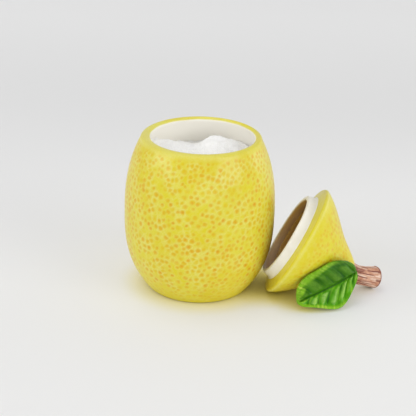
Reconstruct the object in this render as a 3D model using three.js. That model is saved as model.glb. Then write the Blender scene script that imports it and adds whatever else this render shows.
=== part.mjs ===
import * as THREE from 'three';

// A lemon-shaped ceramic jar, in millimetres with +Z up. The lid is off and lies on its side at +X,
// resting on its edge and on the cut end of its stem, with its mouth turned towards the jar.
// The origin is the centre of the jar's foot, on the surface that the jar stands on.

// Jar body
const JAR_HEIGHT = 94.5;
const BELLY_RADIUS = 45;
const BELLY_HEIGHT = 47;
const FOOT_RADIUS = 30.5;
const LIP_RADIUS = 35.8;
const LOWER_FULLNESS = 2.8; // exponent of the curve from the belly down to the foot
const UPPER_FULLNESS = 2.5; // exponent of the curve from the belly up to the lip
const JAR_WALL = 4.9;
const LIP_CROWN = 2; // height of the rounded top of the lip
const FLOOR_HEIGHT = 5.5; // top of the jar's inner floor
const FLOOR_FILLET = 9;
const FOOT_RING_WIDTH = 4.5;
const FOOT_RECESS = 0.8;
const FOOT_ROUND = 1.2;

// Lid dome, measured upwards from the root of the flange
const LID_SETBACK = 0.6; // how far the lid's edge stays inside the jar's lip
const LEDGE_RISE = 1.6; // climb of the sloping ledge from the flange to the edge
const LID_EDGE_HEIGHT = 3.4; // height of the widest circle
const LID_EDGE_ROUND = 1.9;
const LID_WALL = 4;
const EDGE_SLOPE = 66; // degrees, the dome's slope at its widest circle
const EDGE_EASE = 8.3; // how far that slope carries into the shoulder
const WAIST_RADIUS = 18.2; // where the shoulder turns into the nipple
const WAIST_HEIGHT = 24.4;
const WAIST_SLOPE = 48; // degrees
const WAIST_EASE = 6;
const NIPPLE_RADIUS = 6.4;
const NIPPLE_SLOPE = 46; // degrees
const NIPPLE_EASE = 5;
const DOME_HEIGHT = 39.9;

// Locating flange under the dome
const MOUTH_PLAY = 3.4; // radial play of the flange in the jar's mouth
const FLANGE_HEIGHT = 5.2;
const FLANGE_WALL = 3;
const FLANGE_TAPER = 1; // how much smaller the flange's tip radius is than its root radius
const FLANGE_TIP_ROUND = 1.2;

// Stem
const STEM_LENGTH = 17.2; // height of the cut end's centre over the nipple
const STEM_LEAN = 9.4; // how far the cut end stands out sideways
const STEM_LEAN_AZIMUTH = 102; // degrees
const STEM_TILT = 35; // degrees, slope of the stem at its cut end
const STEM_BEND = 6; // run of the stem at each end before it bends
const STEM_ROOT_RADIUS = 6.1;
const STEM_NECK_RADIUS = 5.6;
const STEM_CUT_RADIUS = 6.9;
const STEM_CUT_CHAMFER = 0.7;
const BARK_GROOVES = 7;
const BARK_GROOVE_DEPTH = 0.4;

// Leaf
const LEAF_LENGTH = 43.4;
const LEAF_UPPER_WIDTH = 14.8;
const LEAF_LOWER_WIDTH = 12;
const LEAF_THICKNESS = 3.2;
const LEAF_RIM = 1.6; // thickness at the edge
const LEAF_ARCH = 3.2; // how far the midrib bows out along the length
const LEAF_CUP = 4.6; // how far the two halves fold forwards
const LEAF_FOLD_POWER = 1.6; // how late the fold starts away from the midrib
const LEAF_UPPER_BLUNT = 3.2; // squareness of the upper edge
const LEAF_UPPER_SKEW = 1.2; // shift of the broadest place towards the tip
const LEAF_LOWER_BLUNT = 0.78; // below 1 the lower edge has blunter ends
const LEAF_LOWER_SKEW = 1.15;
const LEAF_EDGE_WAVE = 1.6;
const LEAF_WAVE_START = 0.45; // crest of the wave, as a share of the length
const LEAF_WAVE_PITCH = 0.52; // as a share of the length
const LEAF_STALK_WIDTH = 1.4; // half width of the blunt ends
const MIDRIB_DEPTH = 0.6;
const MIDRIB_WIDTH = 1.1;
const VEIN_HEIGHT = 0.35;
const VEIN_PITCH = 6.2;
const VEIN_SLANT = 0.75;
const LEAF_HEADING = -46.4; // degrees round the lid's axis
const LEAF_DROOP = 35.6; // degrees below the lid's edge plane
const LEAF_ROLL = 64; // degrees about the midrib
const LEAF_SEAT = 0.8; // height of the leaf's seat over the nipple
const LEAF_SHIFT = 1.8; // how far the midrib lies to one side of the stem
const LEAF_SINK = 0.7; // how far the tilted foot of the leaf comes in towards the stem

// How the pieces meet and how the lid lies
const SEAM = 0.3; // clay joint between luted pieces
const LID_GAP = 0.8; // between the flange and the jar
const LID_FORWARD = -5; // shift of the lid towards the front
const LID_TURN = -6.7; // degrees that the lid's axis turns towards the front

// Facets
const ROUND_STEPS = 48;
const WALL_STEPS = 14;
const CURVE_STEPS = 9;
const CORNER_STEPS = 4;
const STEM_RINGS = 12;
const STEM_STEPS = 28;
const LEAF_STATIONS = 30;
const LEAF_HALF_STEPS = 7;

const lipStart = JAR_HEIGHT - LIP_CROWN;
const mouthRadius = LIP_RADIUS - JAR_WALL;
const lidRadius = LIP_RADIUS - LID_SETBACK;
const flangeRadius = mouthRadius - MOUTH_PLAY;
const flangeTipRadius = flangeRadius - FLANGE_TAPER;
const flangeBore = flangeTipRadius - FLANGE_WALL;

const yellowGlaze = { color: 0xe4d646, roughness: 0.25, metalness: 0 };
const ivoryGlaze = { color: 0xf0ece0, roughness: 0.22, metalness: 0 };
const barkGlaze = { color: 0xb88a6c, roughness: 0.4, metalness: 0 };
const leafGlaze = { color: 0x4f9a22, roughness: 0.28, metalness: 0 };

function piece(name, geometry, finish) {
  const mesh = new THREE.Mesh(geometry, new THREE.MeshStandardMaterial(finish));
  mesh.name = name;
  return mesh;
}

// Turns a profile of radius and height about the Z axis.
function turned(profile) {
  return new THREE.LatheGeometry(profile, ROUND_STEPS).rotateX(Math.PI / 2);
}

// Joins a row of closed rings with the same number of points into one solid with flat ends.
function lofted(rings) {
  const count = rings[0].length;
  const points = rings.flat();
  const faces = [];
  for (let ring = 0; ring < rings.length - 1; ring += 1) {
    for (let step = 0; step < count; step += 1) {
      const next = (step + 1) % count;
      const low = ring * count;
      const high = low + count;
      faces.push(low + step, low + next, high + next);
      faces.push(low + step, high + next, high + step);
    }
  }
  const lastRing = (rings.length - 1) * count;
  const startCentre = points.push(centreOf(rings[0])) - 1;
  const endCentre = points.push(centreOf(rings[rings.length - 1])) - 1;
  for (let step = 0; step < count; step += 1) {
    const next = (step + 1) % count;
    faces.push(startCentre, next, step);
    faces.push(endCentre, lastRing + step, lastRing + next);
  }
  const geometry = new THREE.BufferGeometry().setFromPoints(points);
  geometry.setIndex(faces);
  geometry.computeVertexNormals();
  return geometry;
}

function centreOf(ring) {
  const sum = new THREE.Vector3();
  ring.forEach((point) => sum.add(point));
  return sum.divideScalar(ring.length);
}

// A rounded corner between two profile points, without its first point.
function corner(from, via, to, steps) {
  return new THREE.QuadraticBezierCurve(from, via, to).getPoints(steps).slice(1);
}

// The outer radius of the jar at a height below the crown of the lip.
function jarRadius(height) {
  const below = height < BELLY_HEIGHT;
  const end = below ? 0 : lipStart;
  const endRadius = below ? FOOT_RADIUS : LIP_RADIUS;
  const fullness = below ? LOWER_FULLNESS : UPPER_FULLNESS;
  const share = Math.abs((height - BELLY_HEIGHT) / (end - BELLY_HEIGHT));
  return BELLY_RADIUS - (BELLY_RADIUS - endRadius) * share ** fullness;
}

function jarWall(from, to, inset) {
  const points = [];
  for (let step = 0; step <= WALL_STEPS; step += 1) {
    const height = from + ((to - from) * step) / WALL_STEPS;
    points.push(new THREE.Vector2(jarRadius(height) - inset, height));
  }
  return points;
}

function jarBody() {
  const recessRadius = FOOT_RADIUS - FOOT_RING_WIDTH;
  const footFlat = new THREE.Vector2(FOOT_RADIUS - FOOT_ROUND, 0);
  const footCorner = new THREE.Vector2(FOOT_RADIUS, 0);
  const outside = jarWall(FOOT_ROUND, lipStart, 0);
  const lipMiddle = (LIP_RADIUS + mouthRadius) / 2;
  const crown = new THREE.EllipseCurve(lipMiddle, lipStart, JAR_WALL / 2, LIP_CROWN, 0, Math.PI);
  const wallFoot = FLOOR_HEIGHT + FLOOR_FILLET;
  const inside = jarWall(lipStart, wallFoot, JAR_WALL);
  const floorCorner = new THREE.Vector2(jarRadius(FLOOR_HEIGHT) - JAR_WALL, FLOOR_HEIGHT);
  const floorEdge = new THREE.Vector2(floorCorner.x - FLOOR_FILLET, FLOOR_HEIGHT);
  return turned([
    new THREE.Vector2(0, FOOT_RECESS),
    new THREE.Vector2(recessRadius - FOOT_RECESS, FOOT_RECESS),
    new THREE.Vector2(recessRadius, 0),
    footFlat,
    ...corner(footFlat, footCorner, outside[0], CORNER_STEPS),
    ...outside.slice(1),
    ...crown.getPoints(2 * CORNER_STEPS).slice(1),
    ...inside.slice(1),
    ...corner(inside[inside.length - 1], floorCorner, floorEdge, CORNER_STEPS),
    new THREE.Vector2(0, FLOOR_HEIGHT),
  ]);
}

// A point at a distance along a slope that climbs towards the axis.
function alongSlope(from, degrees, distance) {
  const angle = THREE.MathUtils.degToRad(degrees);
  return new THREE.Vector2(from.x - distance * Math.cos(angle), from.y + distance * Math.sin(angle));
}

// The outside of the dome from its widest circle to the nipple: a full shoulder, then a slack waist.
function domeOutside() {
  const edge = new THREE.Vector2(lidRadius, LID_EDGE_HEIGHT);
  const waist = new THREE.Vector2(WAIST_RADIUS, WAIST_HEIGHT);
  const top = new THREE.Vector2(NIPPLE_RADIUS, DOME_HEIGHT);
  const edgePull = alongSlope(edge, EDGE_SLOPE, EDGE_EASE);
  const shoulderPull = alongSlope(waist, WAIST_SLOPE, -WAIST_EASE);
  const waistPull = alongSlope(waist, WAIST_SLOPE, WAIST_EASE);
  const topPull = alongSlope(top, NIPPLE_SLOPE, -NIPPLE_EASE);
  const shoulder = new THREE.CubicBezierCurve(edge, edgePull, shoulderPull, waist);
  const nipple = new THREE.CubicBezierCurve(waist, waistPull, topPull, top);
  return [...shoulder.getPoints(CURVE_STEPS), ...nipple.getPoints(CURVE_STEPS).slice(1)];
}

// Moves each point of a profile square to it, towards the axis, and keeps what stays off the axis.
function inset(profile, depth) {
  const moved = profile.map((point, index) => {
    const before = profile[Math.max(index - 1, 0)];
    const after = profile[Math.min(index + 1, profile.length - 1)];
    const along = after.clone().sub(before).normalize();
    return new THREE.Vector2(point.x - along.y * depth, point.y + along.x * depth);
  });
  return moved.filter((point) => point.x > depth / 2);
}

function lidDome() {
  const outside = domeOutside();
  const inside = inset(outside, LID_WALL).filter((point) => point.y > LEDGE_RISE + LID_WALL);
  const ledgeInner = new THREE.Vector2(flangeBore, 0);
  const ledgeRoot = new THREE.Vector2(flangeRadius, 0);
  const ledgeOuter = new THREE.Vector2(lidRadius - LID_EDGE_ROUND, LEDGE_RISE);
  const edgeCorner = new THREE.Vector2(lidRadius, LEDGE_RISE);
  return turned([
    ledgeInner,
    ledgeRoot,
    ledgeOuter,
    ...corner(ledgeOuter, edgeCorner, outside[0], CORNER_STEPS),
    ...outside.slice(1),
    new THREE.Vector2(0, DOME_HEIGHT),
    new THREE.Vector2(0, inside[inside.length - 1].y),
    ...inside.reverse(),
    new THREE.Vector2(flangeBore, LEDGE_RISE + LID_WALL / 2),
    ledgeInner,
  ]);
}

function lidFlange() {
  const tip = -FLANGE_HEIGHT;
  const outerStart = new THREE.Vector2(flangeTipRadius, tip + FLANGE_TIP_ROUND);
  const outerEnd = new THREE.Vector2(flangeTipRadius - FLANGE_TIP_ROUND, tip);
  const innerStart = new THREE.Vector2(flangeBore + FLANGE_TIP_ROUND, tip);
  const innerEnd = new THREE.Vector2(flangeBore, tip + FLANGE_TIP_ROUND);
  const root = new THREE.Vector2(flangeBore, -SEAM);
  return turned([
    root,
    innerEnd,
    ...corner(innerEnd, new THREE.Vector2(flangeBore, tip), innerStart, CORNER_STEPS),
    outerEnd,
    ...corner(outerEnd, new THREE.Vector2(flangeTipRadius, tip), outerStart, CORNER_STEPS),
    new THREE.Vector2(flangeRadius, -SEAM),
    root,
  ]);
}

// The line through the middle of the stem, in the lid's own frame.
const leanAngle = THREE.MathUtils.degToRad(STEM_LEAN_AZIMUTH);
const leanSide = new THREE.Vector3(Math.cos(leanAngle), Math.sin(leanAngle), 0);
const stemFoot = new THREE.Vector3(0, 0, DOME_HEIGHT + SEAM);
const stemCut = leanSide.clone().multiplyScalar(STEM_LEAN).setZ(DOME_HEIGHT + STEM_LENGTH);
const tilt = THREE.MathUtils.degToRad(STEM_TILT);
const stemAim = leanSide.clone().multiplyScalar(Math.sin(tilt)).setZ(Math.cos(tilt));
const stemRise = stemFoot.clone().setZ(stemFoot.z + STEM_BEND);
const stemRun = stemCut.clone().addScaledVector(stemAim, -STEM_BEND);
const stemLine = new THREE.CubicBezierCurve3(stemFoot, stemRise, stemRun, stemCut);

function stemRadius(share) {
  const root = (STEM_ROOT_RADIUS - STEM_NECK_RADIUS) * (1 - share) ** 3;
  const cut = (STEM_CUT_RADIUS - STEM_NECK_RADIUS) * share ** 2;
  return STEM_NECK_RADIUS + root + cut;
}

function stemRing(centre, along, radius) {
  const across = new THREE.Vector3(-leanSide.y, leanSide.x, 0);
  const lean = across.clone().cross(along);
  const ring = [];
  for (let step = 0; step < STEM_STEPS; step += 1) {
    const angle = (step / STEM_STEPS) * 2 * Math.PI;
    const groove = (1 - Math.cos(BARK_GROOVES * angle)) / 2;
    const reach = radius - BARK_GROOVE_DEPTH * groove;
    const point = centre.clone();
    point.addScaledVector(lean, reach * Math.cos(angle));
    point.addScaledVector(across, reach * Math.sin(angle));
    ring.push(point);
  }
  return ring;
}

function stem() {
  const rings = [];
  for (let index = 0; index <= STEM_RINGS; index += 1) {
    const share = index / STEM_RINGS;
    rings.push(stemRing(stemLine.getPoint(share), stemLine.getTangent(share), stemRadius(share)));
  }
  const cutAlong = stemLine.getTangent(1);
  const cutCentre = stemCut.clone().addScaledVector(cutAlong, STEM_CUT_CHAMFER);
  rings.push(stemRing(cutCentre, cutAlong, STEM_CUT_RADIUS - STEM_CUT_CHAMFER));
  return lofted(rings);
}

// The half width of the leaf at a share of its length: broad above the midrib, wavy below it.
function leafUpperWidth(share) {
  const turn = 2 * share ** LEAF_UPPER_SKEW - 1;
  const round = Math.sqrt(1 - Math.abs(turn) ** LEAF_UPPER_BLUNT);
  return LEAF_STALK_WIDTH + (LEAF_UPPER_WIDTH - LEAF_STALK_WIDTH) * round;
}

function leafLowerWidth(share) {
  const turn = Math.PI * share ** LEAF_LOWER_SKEW;
  const round = Math.abs(Math.sin(turn)) ** LEAF_LOWER_BLUNT;
  const waveTurn = (2 * Math.PI * (share - LEAF_WAVE_START)) / LEAF_WAVE_PITCH;
  const wave = LEAF_EDGE_WAVE * share * Math.cos(waveTurn);
  return LEAF_STALK_WIDTH + (LEAF_LOWER_WIDTH - LEAF_STALK_WIDTH + wave) * round;
}

// One closed ring across the leaf: the face from the lower to the upper edge, then the back.
function leafRing(share) {
  const along = share * LEAF_LENGTH;
  const bow = LEAF_ARCH * 4 * share * (1 - share);
  const fold = LEAF_CUP * Math.sqrt(Math.abs(Math.sin(Math.PI * share)));
  const lowerWidth = leafLowerWidth(share);
  const upperWidth = leafUpperWidth(share);
  const face = [];
  const back = [];
  for (let step = LEAF_HALF_STEPS; step >= -LEAF_HALF_STEPS; step -= 1) {
    const reach = step / LEAF_HALF_STEPS;
    const across = reach * (reach > 0 ? lowerWidth : upperWidth);
    const middle = bow + fold * Math.abs(reach) ** LEAF_FOLD_POWER;
    const thickness = LEAF_THICKNESS + (LEAF_RIM - LEAF_THICKNESS) * reach ** 2;
    const midrib = MIDRIB_DEPTH * Math.exp(-((across / MIDRIB_WIDTH) ** 2));
    const phase = (2 * Math.PI * (along - VEIN_SLANT * Math.abs(across))) / VEIN_PITCH;
    const vein = VEIN_HEIGHT * Math.cos(phase) * Math.sin(Math.PI * Math.abs(reach));
    face.push(new THREE.Vector3(along, across, middle + thickness / 2 - midrib + vein));
    back.unshift(new THREE.Vector3(along, across, middle - thickness / 2));
  }
  return [...face, ...back];
}

function leaf() {
  const rings = [];
  for (let index = 0; index <= LEAF_STATIONS; index += 1) {
    rings.push(leafRing(index / LEAF_STATIONS));
  }
  const mesh = piece('leaf', lofted(rings), leafGlaze);
  const angles = [LEAF_ROLL, LEAF_DROOP, LEAF_HEADING].map(THREE.MathUtils.degToRad);
  mesh.rotation.set(...angles, 'ZYX');
  const standOff = STEM_ROOT_RADIUS + SEAM + LEAF_THICKNESS / 2 - LEAF_SINK;
  const seat = new THREE.Vector3(0, -LEAF_SHIFT, standOff).applyEuler(mesh.rotation);
  mesh.position.copy(stemLine.getPoint(LEAF_SEAT / STEM_LENGTH)).add(seat);
  return mesh;
}

// The lid, built upright on the root of its flange and then laid down beside the jar. Its axis dips
// until the widest circle and the cut end of the stem both touch the surface under them.
function lid() {
  const group = new THREE.Group();
  group.add(piece('lid_dome', lidDome(), yellowGlaze));
  group.add(piece('lid_flange', lidFlange(), ivoryGlaze));
  group.add(piece('stem', stem(), barkGlaze));
  group.add(leaf());

  const reach = stemCut.z - LID_EDGE_HEIGHT;
  const spread = lidRadius - stemCut.x;
  const dip = Math.acos(STEM_CUT_RADIUS / Math.hypot(reach, spread)) - Math.atan2(reach, spread);
  group.rotation.set(0, Math.PI / 2 + dip, THREE.MathUtils.degToRad(LID_TURN), 'ZYX');

  const reachDown = domeOutside().map((point) => point.x * Math.cos(dip) + point.y * Math.sin(dip));
  group.position.y = LID_FORWARD;
  group.position.z = Math.max(...reachDown);
  const flangeTip = new THREE.Vector3(flangeTipRadius, 0, -FLANGE_HEIGHT).applyEuler(group.rotation);
  const wall = jarRadius(group.position.z + flangeTip.z) + LID_GAP;
  const side = group.position.y + flangeTip.y;
  group.position.x = Math.sqrt(wall ** 2 - side ** 2) - flangeTip.x;
  return group;
}

const lemonJar = new THREE.Group();
lemonJar.add(piece('jar_body', jarBody(), yellowGlaze));
lemonJar.add(lid());

export default lemonJar;
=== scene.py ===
import math

import bpy
import numpy as np
from mathutils import Matrix, Vector


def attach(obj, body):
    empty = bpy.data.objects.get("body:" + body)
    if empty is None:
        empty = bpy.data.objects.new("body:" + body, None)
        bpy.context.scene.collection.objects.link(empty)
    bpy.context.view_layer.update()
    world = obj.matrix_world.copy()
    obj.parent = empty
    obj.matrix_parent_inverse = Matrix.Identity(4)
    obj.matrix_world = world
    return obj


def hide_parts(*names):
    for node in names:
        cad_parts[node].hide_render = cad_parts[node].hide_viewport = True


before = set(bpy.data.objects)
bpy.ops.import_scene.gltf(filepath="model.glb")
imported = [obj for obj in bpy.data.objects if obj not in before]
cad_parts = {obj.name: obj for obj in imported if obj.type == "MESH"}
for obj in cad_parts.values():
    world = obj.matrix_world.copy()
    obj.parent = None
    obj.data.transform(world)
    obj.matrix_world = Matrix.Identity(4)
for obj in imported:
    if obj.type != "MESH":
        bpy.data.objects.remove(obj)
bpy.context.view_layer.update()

# Sizes are in millimetres in the row frame, +Z up, and become metres where a mesh is made.
# The backdrop, its shading and the lamps are in metres from the start.
MM = 0.001
SEED = 41

# Jar
JAR_HEIGHT = 94.5
BELLY_RADIUS = 45.0
BELLY_HEIGHT = 47.0
FOOT_RADIUS = 30.5
LIP_RADIUS = 35.8
LOWER_FULLNESS = 2.8  # exponent of the curve from the belly down to the foot
UPPER_FULLNESS = 2.5  # exponent of the curve from the belly up to the lip
JAR_WALL = 4.9
LIP_CROWN = 2.0
FLOOR_HEIGHT = 5.5
FLOOR_FILLET = 9.0
FOOT_RING_WIDTH = 4.5
FOOT_RECESS = 0.8
FOOT_ROUND = 1.2
MOUTH_SHIFT = (0.8, 1.5)  # the mouth is a little off the jar's axis
MOUTH_SHIFT_START = 30.0  # height at which the inside starts to shift
LIP_START = JAR_HEIGHT - LIP_CROWN
MOUTH_RADIUS = LIP_RADIUS - JAR_WALL
JAR_STEPS = 420  # points round each ring
JAR_CENTRE, JAR_PANEL = 0.6, 12.0  # radii of the rings in the middle of the floor and underside
JAR_OUTSIDE_STEP, JAR_CROWN_STEP, JAR_INSIDE_STEP = 0.62, 0.45, 1.6  # spacing of the rings

# Lid, in its own frame: +Z along its axis from the root of the flange to the stem
LID_RADIUS = 35.2
LEDGE_RISE = 1.6
LID_EDGE_HEIGHT = 3.4
LID_EDGE_ROUND = 1.9
LID_WALL = 4.0
EDGE_SLOPE, EDGE_EASE = 66, 8.3  # slopes are in degrees
WAIST_RADIUS, WAIST_HEIGHT = 18.2, 24.4
WAIST_SLOPE, WAIST_EASE = 48, 6.0
NIPPLE_RADIUS, DOME_HEIGHT = 6.4, 39.9
NIPPLE_SLOPE, NIPPLE_EASE = 46, 5.0
LID_STEPS = 360
LID_CENTRE = 0.4  # radius of the smallest rings
LEDGE_STEP, DOME_STEP, LINING_STEP, THROAT_STEP = 0.6, 0.55, 1.4, 1.2
LID_POSITION = (56.376, -5.0, 32.584)
LID_DIP = 28.613  # degrees that the lid's axis dips towards the stem
LID_TURN = -6.7  # degrees that it turns towards the front

# Flange under the dome
FLANGE_RADIUS = 27.5
FLANGE_TIP_RADIUS = 26.5
FLANGE_BORE = 23.5
FLANGE_HEIGHT = 5.2
FLANGE_TIP_ROUND = 1.2
FLANGE_SUNK = 0.4  # how far the flange reaches into the dome
FLANGE_STEPS = 240
FLANGE_TIP_STEP, FLANGE_SIDE_STEP = 0.3, 0.5

# Stem
STEM_LENGTH = 17.2  # height of the cut end over the nipple
STEM_LEAN = 9.4  # how far the cut end stands out sideways
STEM_LEAN_AZIMUTH = 102  # degrees
STEM_TILT = 35  # degrees, slope of the stem at its cut end
STEM_BEND = 6.0  # run of the stem at each end before it bends
STEM_ROOT_RADIUS, STEM_NECK_RADIUS, STEM_CUT_RADIUS = 6.1, 5.6, 6.9
STEM_CUT_CHAMFER = 0.7
STEM_FOOT_SUNK = 0.5  # how far the foot's first ring reaches into the nipple
STEM_SETTLE = 0.5  # drop of the stem's end onto the floor
SEAM = 0.3  # clay joint between luted pieces
STEM_STEPS = 300
SIDE_RINGS, CHAMFER_RINGS, CUT_RINGS = 80, 9, 8
CUT_DISH = 0.25  # depth of the shallow ring in the cut end
BARK_GROOVE = 0.35

# Leaf
LEAF_LENGTH = 43.4
LEAF_UPPER_WIDTH, LEAF_LOWER_WIDTH = 14.8, 12.0  # half widths, from the midrib
LEAF_THICKNESS, LEAF_RIM = 3.2, 1.6  # at the midrib and at the edge
LEAF_ARCH, LEAF_CUP, LEAF_FOLD_POWER = 3.2, 4.6, 1.6
LEAF_UPPER_BLUNT, LEAF_UPPER_SKEW = 3.2, 1.3
LEAF_LOWER_BLUNT, LEAF_LOWER_SKEW = 0.78, 1.15
LEAF_EDGE_WAVE = 2.1
LEAF_WAVE_START, LEAF_WAVE_PITCH = 0.43, 0.72  # as shares of the length
LEAF_STALK_WIDTH = 1.4
LEAF_BACK_SWELL, LEAF_TIP_BEND = 1.1, 1.3
LEAF_HEADING, LEAF_DROOP, LEAF_ROLL = -46.4, 35.6, 64  # degrees
LEAF_SEAT, LEAF_SHIFT, LEAF_SINK = 0.8, 1.8, 0.7
LEAF_STATIONS, LEAF_FACE_STEPS, LEAF_EDGE_STEPS = 150, 61, 13
LOWER_VEIN_PITCH, LOWER_VEIN_SLANT, LOWER_VEIN_CROWDING = 6.2, 1.1, 0.62
UPPER_VEIN_PITCH, UPPER_VEIN_SLANT = 7.6, 0.45
LOWER_VEIN_WIDTH, UPPER_VEIN_WIDTH = 0.65, 0.5
LOWER_CUSHION, UPPER_CUSHION = 1.6, 1.2  # swell of the blade between its veins
MIDRIB_WIDTH, MIDRIB_DEPTH, RIM_RISE = 0.8, 0.9, 0.35

# Filling
SUGAR_LEVEL = 75.8
SUGAR_GAP = -0.08  # below 0, so that the sugar meets the wall without a slit
SUGAR_CURL = 0.9  # rise of the sugar where it clings to the wall
SUGAR_FLOOR = 60.0
SUGAR_STEPS, SUGAR_RINGS = 260, 110
HEAP_HEIGHT, HEAP_RADIUS = 6.5, 29
MOUND_HEIGHT, MOUND_X, MOUND_Y = 6.9, 9.4, 14
MOUND_LEFT, MOUND_RIGHT, MOUND_DEPTH = 9.5, 21, 19  # reach of the mound to each side
BANK_HEIGHT, BANK_X, BANK_Y = 8.4, -31, 12
BANK_WIDTH, BANK_DEPTH = 19, 18

# Pores of the peel
PORE_SPACING, PORE_CROWDING, PORE_TRIES = 2.62, 0.42, 8000  # they crowd near the lip
PORE_RADIUS, PORE_STRENGTH, PORE_DEPTH = (0.86, 1.32), (0.26, 1.06), 0.14
LID_PORE_SPACING, LID_PORE_TRIES, LID_PORE_STRETCH = 1.8, 1600, 1.7
LID_PORE_RADIUS, LID_PORE_STRENGTH, LID_PORE_DEPTH = (0.75, 1.25), (0.2, 1.0), 0.08
LEAST_DENSITY = 0.02
PORE_WOBBLE, WOBBLE_SIZE = 0.22, 2.8  # how uneven the pores' outlines are
PORE_EDGE = 2.6  # exponent of a pore's fall towards its edge
HALO_REACH, HALO_WIDTH = 1.45, 0.42  # pale ring round a pore, as shares of its radius
NET_WIDTH = 0.75  # pale lines halfway between pores
UNEVENNESS = 0.03  # of the glaze
PORE_CELL = 4.0  # edge of the cells that sort the pores, wider than any spacing
BLOCK = 2000  # points that are compared at a time

# Photograph's camera
IMAGE_SIZE = 416
FOCAL_PIXELS = 1167.2
SENSOR = 36.0
CAMERA_TARGET = (5.0, 0.0, 48.39)
CAMERA_DISTANCE = 700.0
CAMERA_ELEVATION = 23.06  # degrees, as is the roll
CAMERA_ROLL = 1.65


# Small tools

def smooth(value, low, high):
    """0 below low, 1 above high, and an eased step between them."""
    share = np.clip((value - low) / (high - low), 0, 1)
    return share * share * (3 - 2 * share)


def bell(value, width):
    """1 at 0, falling to both sides over about width."""
    return np.exp(-((value / width) ** 2))


def ripple(points, size, seed, waves=9):
    """Smooth noise between about -1 and 1 whose features are about size millimetres wide."""
    rng = np.random.default_rng(seed)
    total = np.zeros(points.shape[:-1])
    for _ in range(waves):
        way = rng.normal(size=3)
        way *= 2 * math.pi / size * rng.uniform(0.6, 1.3) / np.linalg.norm(way)
        total += np.sin(points @ way + rng.uniform(0, 2 * math.pi))
    return total / math.sqrt(waves)


def bezier(controls, count):
    """Points on a Bezier curve with any number of control points."""
    controls = np.array(controls, float)
    share = np.linspace(0, 1, count)[:, None]
    degree = len(controls) - 1
    weights = [
        math.comb(degree, k) * share**k * (1 - share) ** (degree - k)
        for k in range(degree + 1)
    ]
    return sum(w * c for w, c in zip(weights, controls))


def evenly(path, spacing):
    """The same polyline with points about spacing apart."""
    steps = np.linalg.norm(np.diff(path, axis=0), axis=1)
    run = np.concatenate([[0], np.cumsum(steps)])
    marks = np.linspace(0, run[-1], max(2, int(run[-1] / spacing) + 1))
    return np.stack([np.interp(marks, run, column) for column in path.T], axis=1)


def full_turn(steps):
    """Angles of evenly spaced points round a ring."""
    return np.linspace(0, 2 * math.pi, steps, endpoint=False)


def turned(profile, steps):
    """Rings of points from a profile of radius and height: an array of rings, steps and 3."""
    angle = full_turn(steps)
    radius, height = profile[:, :1], profile[:, 1:2]
    return np.stack(
        [radius * np.cos(angle), radius * np.sin(angle), height + 0 * angle], axis=-1
    )


def ring_normals(rings):
    """Outward normals of a stack of rings."""
    around = np.roll(rings, -1, axis=1) - np.roll(rings, 1, axis=1)
    along = np.gradient(rings, axis=0)
    normal = np.cross(around, along)
    return normal / np.maximum(np.linalg.norm(normal, axis=-1, keepdims=True), 1e-9)


def ring_object(name, rings, values=None, place=None, ends=True):
    """A smooth object from a stack of rings, with closed ends or its last ring joined to its first.

    values holds named numbers for each point, which the materials read as attributes."""
    count, steps = rings.shape[:2]
    index = np.arange(count * steps).reshape(count, steps)
    if not ends:
        index = np.vstack([index, index[:1]])
    beside = np.roll(index, -1, axis=1)
    quads = np.stack([index[:-1], beside[:-1], beside[1:], index[1:]], axis=-1)
    points = rings.reshape(-1, 3)
    faces = quads.reshape(-1, 4).tolist()
    if ends:
        points = np.vstack([points, rings[0].mean(0), rings[-1].mean(0)])
        first, last = len(points) - 2, len(points) - 1
        faces += [[first, b, a] for a, b in zip(index[0], beside[0])]
        faces += [[last, a, b] for a, b in zip(index[-1], beside[-1])]
    if place is not None:
        points = points @ np.array(place.to_3x3()).T + np.array(place.translation)
    mesh = bpy.data.meshes.new(name)
    mesh.from_pydata((points * MM).tolist(), [], faces)
    mesh.polygons.foreach_set("use_smooth", np.ones(len(mesh.polygons), bool))
    for key, value in (values or {}).items():
        flat = np.broadcast_to(value, (count, steps))
        full = flat.ravel()
        if ends:
            full = np.concatenate([full, [flat[0].mean(), flat[-1].mean()]])
        attribute = mesh.attributes.new(key, "FLOAT", "POINT")
        attribute.data.foreach_set("value", full.astype(np.float32))
    mesh.update()
    made = bpy.data.objects.new(name, mesh)
    bpy.context.scene.collection.objects.link(made)
    return made


def dress(made, material, body, slot, *nodes):
    """Gives a piece its material and body, and hides the solids that it stands for. slot is not
    used.
    """
    made.data.materials.append(material)
    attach(made, body)
    if nodes:
        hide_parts(*nodes)
    return made


# Pores of the peel

def scatter(points, areas, spacing, seed, tries):
    """Chooses points at random, by area, that keep spacing from each other.

    The random numbers go on with the generator that comes back too."""
    rng = np.random.default_rng(seed)
    order = rng.choice(len(points), size=tries, p=areas / areas.sum())
    cells = {}
    kept = []
    for index in order:
        point = points[index]
        gap = spacing[index]
        cell = tuple((point // PORE_CELL).astype(int))
        near = [
            other
            for dx in (-1, 0, 1)
            for dy in (-1, 0, 1)
            for dz in (-1, 0, 1)
            for other in cells.get((cell[0] + dx, cell[1] + dy, cell[2] + dz), ())
        ]
        if all(np.linalg.norm(point - points[other]) >= gap for other in near):
            cells.setdefault(cell, []).append(index)
            kept.append(index)
    return points[kept], rng


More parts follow.
